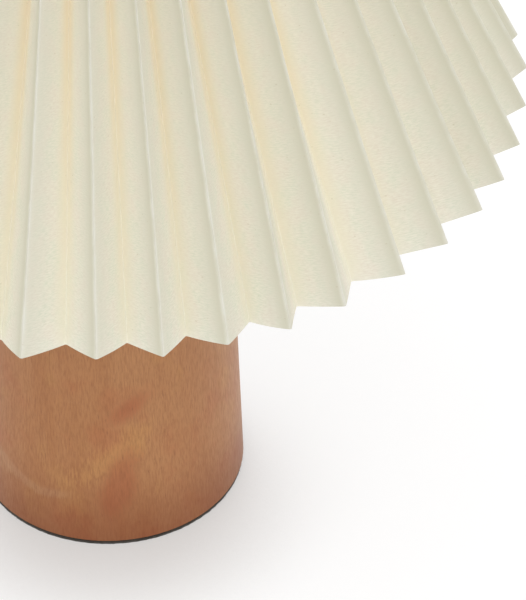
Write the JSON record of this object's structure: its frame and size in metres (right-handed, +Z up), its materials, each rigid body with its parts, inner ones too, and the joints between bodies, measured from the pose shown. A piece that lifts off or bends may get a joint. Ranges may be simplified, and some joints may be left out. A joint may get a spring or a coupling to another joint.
{
  "type": "table lamp",
  "caption": "Table lamp with a turned wooden column, a screw-in bulb and a lift-off cone shade of pleated paper on a wire frame.",
  "frame": {"origin": "middle of the felt's underside, where the lamp stands on the table", "axes": "+Z up along the column's axis; +Y towards the cable outlet at the back, so the picture looks from -Y"},
  "size_m": [0.2998, 0.2998, 0.3678],
  "materials": {
    "pleated_paper": "matt cream pleated paper with a faint fibre texture",
    "turned_wood": "satin oiled reddish brown close-grained hardwood",
    "felt": "dark brown felt",
    "black_rubber": "matt black rubber bush",
    "iron": "dark cast iron",
    "zinc_steel": "zinc plated steel",
    "brass": "bright brass",
    "white_lacquer": "white lacquered wire and sheet",
    "holder_plastic": "off-white moulded lampholder plastic",
    "ring_plastic": "off-white moulded ring",
    "ceramic_body": "white steatite",
    "bulb_metal": "nickel plated bulb cap",
    "black_glass": "black insulating glass",
    "bulb_housing": "white bulb housing",
    "led_board": "white coated circuit board",
    "led_chip": "yellow phosphor",
    "opal_globe": "opal white globe"
  },
  "bodies": {
    "base": {"felt_pad": "felt", "wood_column": "turned_wood", "cable_bush": "black_rubber", "ballast": "iron", "threaded_tube": "zinc_steel", "ballast_washer": "zinc_steel", "ballast_nut": "zinc_steel", "top_flange": "white_lacquer", "top_nut": "zinc_steel", "holder_cap": "holder_plastic", "grub_screw": "zinc_steel", "terminal_block": "ceramic_body", "terminal_screws": "zinc_steel", "centre_contact": "brass", "screw_shell": "brass", "holder_sleeve": "holder_plastic"},
    "bulb": {"bulb_tip_contact": "bulb_metal", "bulb_insulator": "black_glass", "bulb_cap": "bulb_metal", "bulb_collar": "bulb_housing", "led_plate": "led_board", "led_chips": "led_chip", "driver_board": "led_board", "bulb_globe": "opal_globe"},
    "shade": {"pleated_shade": "pleated_paper", "top_ring": "white_lacquer", "lower_hoop": "white_lacquer", "fitter_ring": "white_lacquer", "frame_arm_1": "white_lacquer", "frame_arm_2": "white_lacquer", "frame_arm_3": "white_lacquer", "frame_strut_1": "white_lacquer", "frame_strut_2": "white_lacquer", "frame_strut_3": "white_lacquer"},
    "clamp_ring": {"shade_ring": "ring_plastic"}
  },
  "joints": [
    {"name": "bulb_draw", "type": "slide", "parent": "base", "child": "bulb", "axis": [0, 0, 1], "range_m": [0, 0.13]},
    {"name": "shade_lift", "type": "slide", "parent": "base", "child": "shade", "axis": [0, 0, 1], "range_m": [0, 0.2]},
    {"name": "clamp_ring_turn", "type": "hinge", "parent": "shade", "child": "clamp_ring", "pos_m": [0, 0, 0.24], "axis": [0, 0, 1], "range_deg": [0, 1080]}
  ]
}
